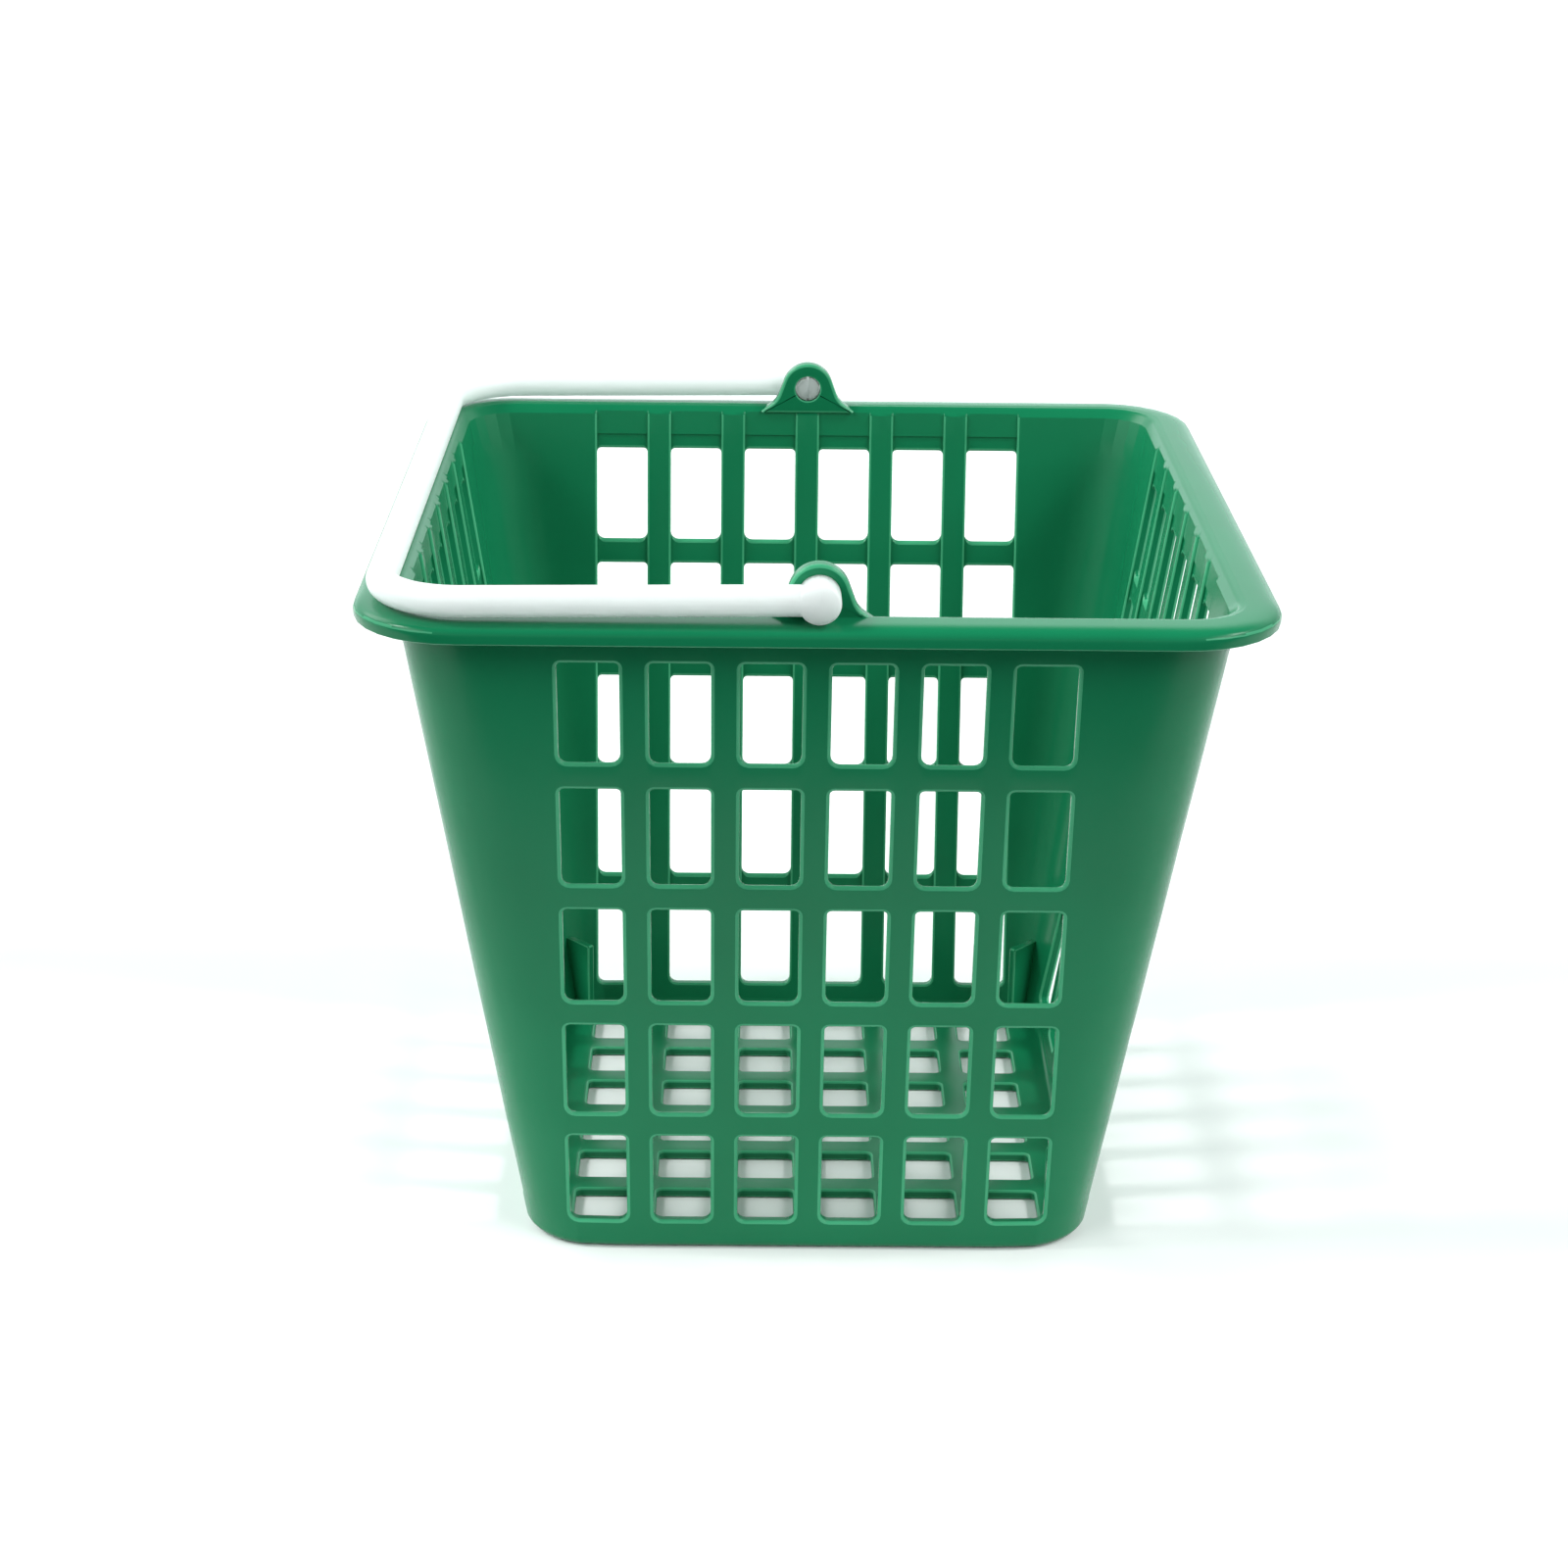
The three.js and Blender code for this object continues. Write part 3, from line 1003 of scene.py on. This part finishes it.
            # Halving the way from the hinge finds the border of the ear at each angle.
            angle = 2 * math.pi * step / self.ear_steps
            low, high = 0.0, far
            for _ in range(self.search_steps):
                reach = (low + high) / 2
                if inside(reach * math.cos(angle), reach * math.sin(angle)):
                    low = reach
                else:
                    high = reach
            points.append((low * math.cos(angle), low * math.sin(angle)))
        return points

    def draw_ears(self, draft: Draft) -> None:
        """Draws the two ears on the rim, at the front and at the back.

        Args:
            draft: The draft that takes the faces.
        """
        outline = self.ear_outline()
        for turn in (0, 2):

            def place(across: float, along: float, up: float, turn: int = turn) -> Vector:
                """Puts a point of the ear's plate into space."""
                point = Vector((across, along - self.ear_middle, self.hinge_height + up))
                return self.turned(point, turn)

            size = (self.ear_thickness, self.ear_edge)
            draw_plate(draft, outline, *size, place, self.hole_radius, self.hole_edge)

    def inner_corner(self, z: float) -> float:
        """Gives the distance from the middle axis to the inside of a corner at a height."""
        straight = math.sqrt(2) * (self.wall_half(z) - self.bend(z))
        return straight + self.bend(z) - self.rib_depth

    def draw_fins(self, draft: Draft) -> None:
        """Draws the four upright fins in the corners, on which a nested basket stands.

        Args:
            draft: The draft that takes the faces.
        """
        tip = self.inner_corner(self.fin_top) - self.fin_reach
        root = self.floor_thickness / 2
        bury = self.rib_depth / 2
        outline = [
            (tip, root),
            (self.inner_corner(root) + bury, root),
            (self.inner_corner(self.fin_top) + bury, self.fin_top),
            (tip + self.fin_edge, self.fin_top),
            (tip, self.fin_top - self.fin_edge),
        ]
        for corner in range(WALLS):
            turn = Matrix.Rotation(math.radians(45 + 90 * corner), 3, "Z")

            def place(across: float, along: float, up: float, turn: Matrix = turn) -> Vector:
                """Puts a point of the fin's plate into space."""
                return turn @ Vector((across, along, up))

            draw_plate(draft, outline, self.fin_thickness, self.fin_edge, place)

    def build(self) -> bpy.types.Object:
        """Builds and dresses the whole moulding.

        Returns:
            The basket, riding on its body in place of the plain solid.
        """
        draft = Draft()
        for turn in range(WALLS):
            self.draw_wall(draft, turn)
        lowest = self.wall_cell(0, 0).bottom
        highest = self.wall_cell(0, self.rows - 1).top
        edge = self.base_edge
        base_centre = (self.wall_half(edge) - edge, edge)
        base = [*arc(base_centre, edge, edge, -90, 0, self.arc_steps), (self.wall_half(lowest), lowest)]
        rim = [(self.wall_half(highest), highest), *self.rim_section()]
        fillet = self.floor_fillet
        foot = self.floor_thickness + fillet
        fillet_centre = (self.wall_half(foot) - self.rib_depth - fillet, foot)
        inside = [(self.wall_half(self.sill_line) - self.rib_depth, self.sill_line)]
        inside += arc(fillet_centre, fillet, fillet, 0, -90, self.lip_steps)
        for section in (base, rim, inside):
            draft.skin([self.ring(*point) for point in section], closed=True)
        self.draw_floor(draft, self.ring(*inside[-1]), self.ring(*base[0]))
        piece = draft.to_object("lattice_basket")
        for draw in (self.draw_ears, self.draw_fins):
            extra = Draft()
            draw(extra)
            combine(piece, extra.to_object("extra"), Join.UNION)
        smooth(piece)
        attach(piece, "basket_body")
        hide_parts("basket")
        GREEN_POLYPROPYLENE.dress(piece)
        return piece


@dataclass
class BailHandle:
    """The handle: a round bar bent to a bail, with a boss and a split snap pin at each end."""

    basket: LatticeBasket
    diameter: float = 0.0087
    arm_offset: float = 0.12328
    grip_reach: float = 0.1198
    bend_radius: float = 0.0235
    rest_tilt_deg: float = 0.682
    side_play: float = 0.0003
    boss_diameter: float = 0.0118
    boss_edge: float = 0.001
    boss_break: float = 0.00025
    pin_diameter: float = 0.0079
    pin_lead: float = 0.0007
    slot_width: float = 0.0008
    slot_depth: float = 0.005
    tube_sides: int = 40
    bend_steps: int = 16
    round_steps: int = 56
    lead_steps: int = 4
    edge_steps: int = 5

    @property
    def boss_face(self) -> float:
        """Distance from the middle to the inner face of a boss, just outside its ear."""
        return self.basket.ear_middle + self.basket.ear_thickness / 2 + self.side_play

    @property
    def pin_end(self) -> float:
        """Distance from the middle to the tip of a pin, level with the inner face of its ear."""
        return self.basket.ear_middle - self.basket.ear_thickness / 2

    def centre_line(self) -> list[tuple[Vector, float]]:
        """Gives the centre line of the bar about its hinge: arm, bend, grip, bend and arm.

        Returns:
            Points, each with its heading in radians.
        """
        points = [(Vector((0.0, -self.arm_offset, 0.0)), math.pi)]
        for bend in (0, 1):
            side = -1 if bend == 0 else 1
            centre_y = side * (self.arm_offset - self.bend_radius)
            centre = Vector((self.bend_radius - self.grip_reach, centre_y, 0.0))
            for step in range(self.bend_steps + 1):
                heading = math.pi - (bend + step / self.bend_steps) * math.pi / 2
                spoke = Vector((-math.sin(heading), math.cos(heading), 0.0))
                points.append((centre + spoke * self.bend_radius, heading))
        points.append((Vector((0.0, self.arm_offset, 0.0)), 0.0))
        return points

    def bar(self) -> bpy.types.Object:
        """Builds the round bar along the centre line.

        Returns:
            The bar as a closed solid.
        """
        draft = Draft()
        rows = []
        for at, heading in self.centre_line():
            across = Vector((-math.sin(heading), math.cos(heading), 0.0))
            row = []
            for side in range(self.tube_sides):
                angle = 2 * math.pi * side / self.tube_sides
                spoke = across * math.cos(angle) + Vector((0.0, 0.0, math.sin(angle)))
                row.append(at + spoke * (self.diameter / 2))
            rows.append(row)
        draft.tube(rows)
        return draft.to_object("bail_handle_moulding")

    def end(self, way: int) -> bpy.types.Object:
        """Builds the boss and the split pin of one end.

        Args:
            way: One for the back end and minus one for the front end.

        Returns:
            The end as a closed solid.
        """
        boss, pin = self.boss_diameter / 2, self.pin_diameter / 2
        outer = self.boss_face + self.diameter
        edge, lead = self.boss_edge, self.pin_lead
        profile = [
            *arc((pin - lead, self.pin_end + lead), lead, lead, -90, 0, self.lead_steps),
            (pin, self.boss_face),
            (boss - self.boss_break, self.boss_face),
            (boss, self.boss_face + self.boss_break),
            *arc((boss - edge, outer - edge), edge, edge, 0, 90, self.edge_steps),
        ]
        draft = Draft()
        turns = [2 * math.pi * i / self.round_steps for i in range(self.round_steps)]
        rows = []
        for radius, along in profile:
            rows.append([Vector((radius * math.cos(t), way * along, radius * math.sin(t))) for t in turns])
        draft.tube(rows)
        turned = draft.to_object("end")
        slot = Draft()
        half, reach = self.slot_width / 2, self.pin_diameter
        corners = [(-half, -reach), (half, -reach), (half, reach), (-half, reach)]
        sides = (self.pin_end - lead, self.pin_end + self.slot_depth)
        slot.tube([[Vector((x, way * y, z)) for x, z in corners] for y in sides])
        combine(turned, slot.to_object("slot"), Join.DIFFERENCE)
        return turned

    def build(self) -> bpy.types.Object:
        """Builds and dresses the whole handle in its rest place on the rim.

        Returns:
            The handle, riding on its body in place of the plain solid.
        """
        piece = self.bar()
        for way in (-1, 1):
            combine(piece, self.end(way), Join.UNION)
        tilt = Matrix.Rotation(math.radians(-self.rest_tilt_deg), 4, "Y")
        piece.data.transform(Matrix.Translation((0.0, 0.0, self.basket.hinge_height)) @ tilt)
        smooth(piece)
        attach(piece, "bail_body")
        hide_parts("bail_handle")
        WHITE_POLYPROPYLENE.dress(piece)
        return piece


def add_node(
    tree: bpy.types.NodeTree, kind: str, links: dict[str | int, object] | None = None, **settings: object
) -> bpy.types.Node:
    """Adds a shader node with its settings, its values and its links.

    Args:
        tree: The node tree.
        kind: Blender's name of the node type.
        links: Names or numbers of inputs, each with a value or with an output to link.
        settings: Attributes of the node.

    Returns:
        The node.
    """
    node = tree.nodes.new(kind)
    for name, value in settings.items():
        setattr(node, name, value)
    for name, value in (links or {}).items():
        if isinstance(value, bpy.types.NodeSocket):
            tree.links.new(value, node.inputs[name])
        else:
            node.inputs[name].default_value = value
    return node


@dataclass(frozen=True)
class MouldedPlastic:
    """Injection-moulded polypropylene: a satin skin that copies the spark-eroded texture of its mould."""

    name: str
    colour: str
    deep_colour: str
    # Paler colour of the rounded edges: partly wear, partly a painted highlight.
    edge_wear_and_highlight_colour: str
    roughness: float
    roughness_swing: float
    specular: float
    translucency: float
    scatter: float
    grain_size: float
    grain_height: float
    flow_size: float
    flow_span: Pair = (0.3, 0.7)
    # Weakest strength of the paler edges, partly wear and partly painted highlight, where the flow clouds
    # are low.
    least_wear_and_highlight: float = 0.35
    grain_strength: float = 0.35
    ior: float = 1.49

    def material(self) -> bpy.types.Material:
        """Builds the material.

        Returns:
            The material.
        """
        made = bpy.data.materials.new(self.name)
        made.use_nodes = True
        tree = made.node_tree
        tree.nodes.clear()
        where = add_node(tree, "ShaderNodeTexCoord").outputs["Object"]
        # Slow clouds where the melt flowed and cooled: a slight drift of the colour and of the gloss.
        clouds = {"Vector": where, "Scale": 1 / self.flow_size, "Detail": 3.0, "Roughness": 0.5}
        flow = add_node(tree, "ShaderNodeTexNoise", clouds).outputs["Fac"]
        body = add_node(tree, "ShaderNodeValToRGB", {"Fac": flow})
        low, high = body.color_ramp.elements
        low.position, high.position = self.flow_span
        low.color, high.color = srgb(self.deep_colour), srgb(self.colour)
        # Rounded edges are paler: partly wear, where the pigmented skin is thin and rubbed by the balls,
        # and partly a painted highlight for the light that the rounded edges catch.
        edge = add_node(tree, "ShaderNodeAttribute", attribute_name=EDGE_ATTRIBUTE).outputs["Fac"]
        wear_and_highlight_range = {"Value": flow, "To Min": self.least_wear_and_highlight, "To Max": 1.0}
        wear_and_highlight_strength = add_node(tree, "ShaderNodeMapRange", wear_and_highlight_range).outputs["Result"]
        wear_and_highlight = add_node(tree, "ShaderNodeMath", {0: edge, 1: wear_and_highlight_strength}, operation="MULTIPLY").outputs[0]
        blend = {"Factor": wear_and_highlight, MIX_FIRST: body.outputs["Color"], MIX_SECOND: srgb(self.edge_wear_and_highlight_colour)}
        colour = add_node(tree, "ShaderNodeMix", blend, data_type="RGBA").outputs[MIX_RESULT]
        swing = {
            "Value": flow,
            "From Min": self.flow_span[0],
            "From Max": self.flow_span[1],
            "To Min": self.roughness - self.roughness_swing,
            "To Max": self.roughness + self.roughness_swing,
        }
        gloss = add_node(tree, "ShaderNodeMapRange", swing).outputs["Result"]
        # The eroded grain of a mould is finer than a tenth of a millimetre, so it is drawn coarser here
        # for the size of the picture: it breaks up reflections and is not seen as a pattern.
        pits = {"Vector": where, "Scale": 1 / self.grain_size, "Detail": 2.0, "Roughness": 0.6}
        grain = add_node(tree, "ShaderNodeTexNoise", pits).outputs["Fac"]
        relief = {"Height": grain, "Strength": self.grain_strength, "Distance": self.grain_height}
        bump = add_node(tree, "ShaderNodeBump", relief).outputs["Normal"]
        skin = {
            "Base Color": colour,
            "Roughness": gloss,
            "Normal": bump,
            "IOR": self.ior,
            "Specular IOR Level": self.specular,
            "Subsurface Weight": self.translucency,
            "Subsurface Radius": (1.0, 1.0, 1.0),
            "Subsurface Scale": self.scatter,
        }
        shader = add_node(tree, "ShaderNodeBsdfPrincipled", skin)
        add_node(tree, "ShaderNodeOutputMaterial", {"Surface": shader.outputs["BSDF"]})
        return made

    def dress(self, piece: bpy.types.Object) -> None:
        """Gives a piece this finish all over."""
        piece.data.materials.clear()
        piece.data.materials.append(self.material())


@dataclass(frozen=True)
class SoftPanel:
    """A broad glowing panel on one side of the studio, faded in and out between sines of elevation."""

    side: Side
    level: float
    rise: Pair
    fall: Pair

    def glow(
        self, tree: bpy.types.NodeTree, around: bpy.types.NodeSocket, height: bpy.types.NodeSocket
    ) -> bpy.types.NodeSocket:
        """Adds the nodes for the light of the panel.

        Args:
            tree: The node tree of the world.
            around: Level direction of the light.
            height: Sine of its elevation.

        Returns:
            The brightness of the panel in that direction.
        """
        ways = {0: around, 1: self.side.value}
        facing = add_node(tree, "ShaderNodeVectorMath", ways, operation="DOT_PRODUCT").outputs["Value"]
        rise = {"Value": height, "From Min": self.rise[0], "From Max": self.rise[1], "To Max": self.level}
        fall = {"Value": height, "From Min": self.fall[1], "From Max": self.fall[0]}
        glow, above, wide = (
            add_node(tree, "ShaderNodeMapRange", fade).outputs["Result"]
            for fade in (rise, fall, {"Value": facing})
        )
        for factor in (above, wide, wide):
            glow = add_node(tree, "ShaderNodeMath", {0: glow, 1: factor}, operation="MULTIPLY").outputs[0]
        return glow


@dataclass(frozen=True)
class Lamp:
    """A distant round softbox."""

    name: str
    toward: Triple
    level: float
    angle_deg: float = 28.0

    def build(self) -> None:
        """Adds the lamp to the scene."""
        light = bpy.data.lights.new(self.name, "SUN")
        light.energy = self.level
        light.angle = math.radians(self.angle_deg)
        lamp = bpy.data.objects.new(self.name, light)
        lamp.rotation_euler = Vector(self.toward).to_track_quat("Z", "Y").to_euler()
        bpy.context.scene.collection.objects.link(lamp)


@dataclass
class Studio:
    """A white table between soft light panels, and the camera of the photograph."""

    camera_at: Triple = (-0.0175, -0.9186, 0.4697)
    yaw_deg: float = -0.613
    pitch_deg: float = 20.942
    roll_deg: float = 0.701
    focal_px: float = 3172.8
    image_px: float = 1600.0
    sensor_mm: float = 36.0
    sight: float = 20.0
    table_front: float = -0.32
    table_back: float = 5.0
    table_side: float = 2.0
    table_gap: float = 0.0002
    table_colour: str = "CACECE"
    table_white: str = "F1F1F1"
    panel_colour: str = "ECFFFC"
    panels: tuple[SoftPanel, ...] = (
        SoftPanel(Side.BACK, level=2.4, rise=(-0.02, 0.0), fall=(0.06, 0.34)),
        SoftPanel(Side.BACK, level=2.8, rise=(0.2, 0.5), fall=(0.52, 0.72)),
        SoftPanel(Side.LEFT, level=1.8, rise=(-0.02, 0.0), fall=(0.2, 0.5)),
        SoftPanel(Side.LEFT, level=2.0, rise=(0.2, 0.5), fall=(0.65, 0.9)),
        SoftPanel(Side.RIGHT, level=0.8, rise=(-0.02, 0.0), fall=(0.65, 0.9)),
        SoftPanel(Side.FRONT, level=0.6, rise=(-0.02, 0.0), fall=(0.1, 0.4)),
    )
    lamps: tuple[Lamp, ...] = (
        Lamp("fill_right", toward=(0.8, -0.6, 0.62), level=1.3),
        Lamp("fill_left", toward=(-0.8, -0.6, 0.62), level=0.64),
        Lamp("back_left", toward=(-0.8, 0.6, 0.8), level=0.65),
        Lamp("strip_right", toward=(0.68, -0.1, 0.72), level=1.2, angle_deg=12.0),
        Lamp("strip_left", toward=(-0.68, -0.1, 0.72), level=1.3, angle_deg=12.0),
    )

    def build(self) -> None:
        """Builds the table, the lights and the camera."""
        self.build_table()
        self.build_light()
        self.build_camera()

    def build_table(self) -> None:
        """Lays the white table just under the basket."""
        side, front, back = self.table_side, self.table_front, self.table_back
        corners = [(-side, front), (side, front), (side, back), (-side, back)]
        draft = Draft()
        draft.face([Vector((x, y, -self.table_gap)) for x, y in corners])
        table = draft.to_object("table")
        # Matt paint: no gloss, and seen as the plain white of the backdrop wherever no shadow falls, by
        # the camera and in the gloss of the plastic.
        made = bpy.data.materials.new("Matt white table paint")
        made.use_nodes = True
        tree = made.node_tree
        tree.nodes.clear()
        path = add_node(tree, "ShaderNodeLightPath").outputs
        rays = {0: path["Is Camera Ray"], 1: path["Is Glossy Ray"]}
        seen = add_node(tree, "ShaderNodeMath", rays, operation="MAXIMUM").outputs[0]
        colours = {MIX_FIRST: srgb(self.table_colour), MIX_SECOND: srgb(self.table_white)}
        paint = {"Factor": seen, **colours}
        colour = add_node(tree, "ShaderNodeMix", paint, data_type="RGBA").outputs[MIX_RESULT]
        shader = add_node(tree, "ShaderNodeBsdfDiffuse", {"Color": colour})
        add_node(tree, "ShaderNodeOutputMaterial", {"Surface": shader.outputs["BSDF"]})
        table.data.materials.append(made)

    def build_light(self) -> None:
        """Sets a white surround that is dim behind the photographer, and the lamps."""
        world = bpy.data.worlds.new("white_surround")
        world.use_nodes = True
        tree = world.node_tree
        tree.nodes.clear()
        way = add_node(tree, "ShaderNodeTexCoord").outputs["Generated"]
        height = add_node(tree, "ShaderNodeSeparateXYZ", {"Vector": way}).outputs["Z"]
        level_only = {0: way, 1: (1.0, 1.0, 0.0)}
        flat = add_node(tree, "ShaderNodeVectorMath", level_only, operation="MULTIPLY").outputs[0]
        around = add_node(tree, "ShaderNodeVectorMath", {0: flat}, operation="NORMALIZE").outputs[0]
        glow: bpy.types.NodeSocket | float = 0.0
        for panel in self.panels:
            both = {0: glow, 1: panel.glow(tree, around, height)}
            glow = add_node(tree, "ShaderNodeMath", both, operation="ADD").outputs[0]
        # The camera sees a plain white backdrop in place of the panels.
        seen = add_node(tree, "ShaderNodeLightPath").outputs["Is Camera Ray"]
        level = add_node(tree, "ShaderNodeMix", {"Factor": seen, "A": glow, "B": 1.0}).outputs["Result"]
        tint = {"Factor": seen, MIX_FIRST: srgb(self.panel_colour), MIX_SECOND: srgb("FFFFFF")}
        colour = add_node(tree, "ShaderNodeMix", tint, data_type="RGBA").outputs[MIX_RESULT]
        light = add_node(tree, "ShaderNodeBackground", {"Color": colour, "Strength": level})
        add_node(tree, "ShaderNodeOutputWorld", {"Surface": light.outputs["Background"]})
        bpy.context.scene.world = world
        for lamp in self.lamps:
            lamp.build()

    def build_camera(self) -> None:
        """Sets the camera where the photograph was taken."""
        pitch, roll = math.radians(self.pitch_deg), math.radians(self.roll_deg)
        turn = Matrix.Rotation(math.radians(self.yaw_deg), 3, "Z")
        forward = turn @ Vector((0.0, math.cos(pitch), -math.sin(pitch)))
        up = turn @ Vector((0.0, math.sin(pitch), math.cos(pitch)))
        right = turn @ Vector((1.0, 0.0, 0.0))
        across = right * math.cos(roll) + up * math.sin(roll)
        above = up * math.cos(roll) - right * math.sin(roll)
        axes = Matrix((across, above, -forward)).transposed().to_4x4()
        lens = bpy.data.cameras.new("camera")
        lens.sensor_width = self.sensor_mm
        lens.lens = self.focal_px / self.image_px * self.sensor_mm
        lens.clip_end = self.sight
        camera = bpy.data.objects.new("camera", lens)
        camera.matrix_world = Matrix.Translation(self.camera_at) @ axes
        bpy.context.scene.collection.objects.link(camera)
        bpy.context.scene.camera = camera


GREEN_POLYPROPYLENE = MouldedPlastic(
    name="Injection-moulded green polypropylene",
    colour="147950",
    deep_colour="13744C",
    # The pale edge colour is partly wear and partly a painted highlight on the rounded edges.
    edge_wear_and_highlight_colour="4FB083",
    roughness=0.24,
    roughness_swing=0.03,
    specular=0.21,
    translucency=0.0,
    scatter=0.001,
    grain_size=0.0006,
    grain_height=0.00001,
    flow_size=0.05,
)
WHITE_POLYPROPYLENE = MouldedPlastic(
    name="Injection-moulded white polypropylene",
    colour="F4F8F8",
    deep_colour="EFF5F5",
    # The pale edge colour is partly wear and partly a painted highlight on the rounded edges.
    edge_wear_and_highlight_colour="F8FBFB",
    roughness=0.4,
    roughness_swing=0.04,
    specular=0.45,
    translucency=1.0,
    scatter=0.02,
    grain_size=0.0006,
    grain_height=0.00002,
    flow_size=0.04,
)


def main() -> None:
    """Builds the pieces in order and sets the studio."""
    logging.basicConfig(level=logging.INFO, format="%(message)s")
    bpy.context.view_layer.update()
    basket = LatticeBasket()
    for maker in (basket, BailHandle(basket)):
        piece = maker.build()
        LOG.info("%s: %d faces", piece.name, len(piece.data.polygons))
    Studio().build()
    bpy.context.scene.view_settings.view_transform = "Standard"


if __name__ == "__main__":
    main()
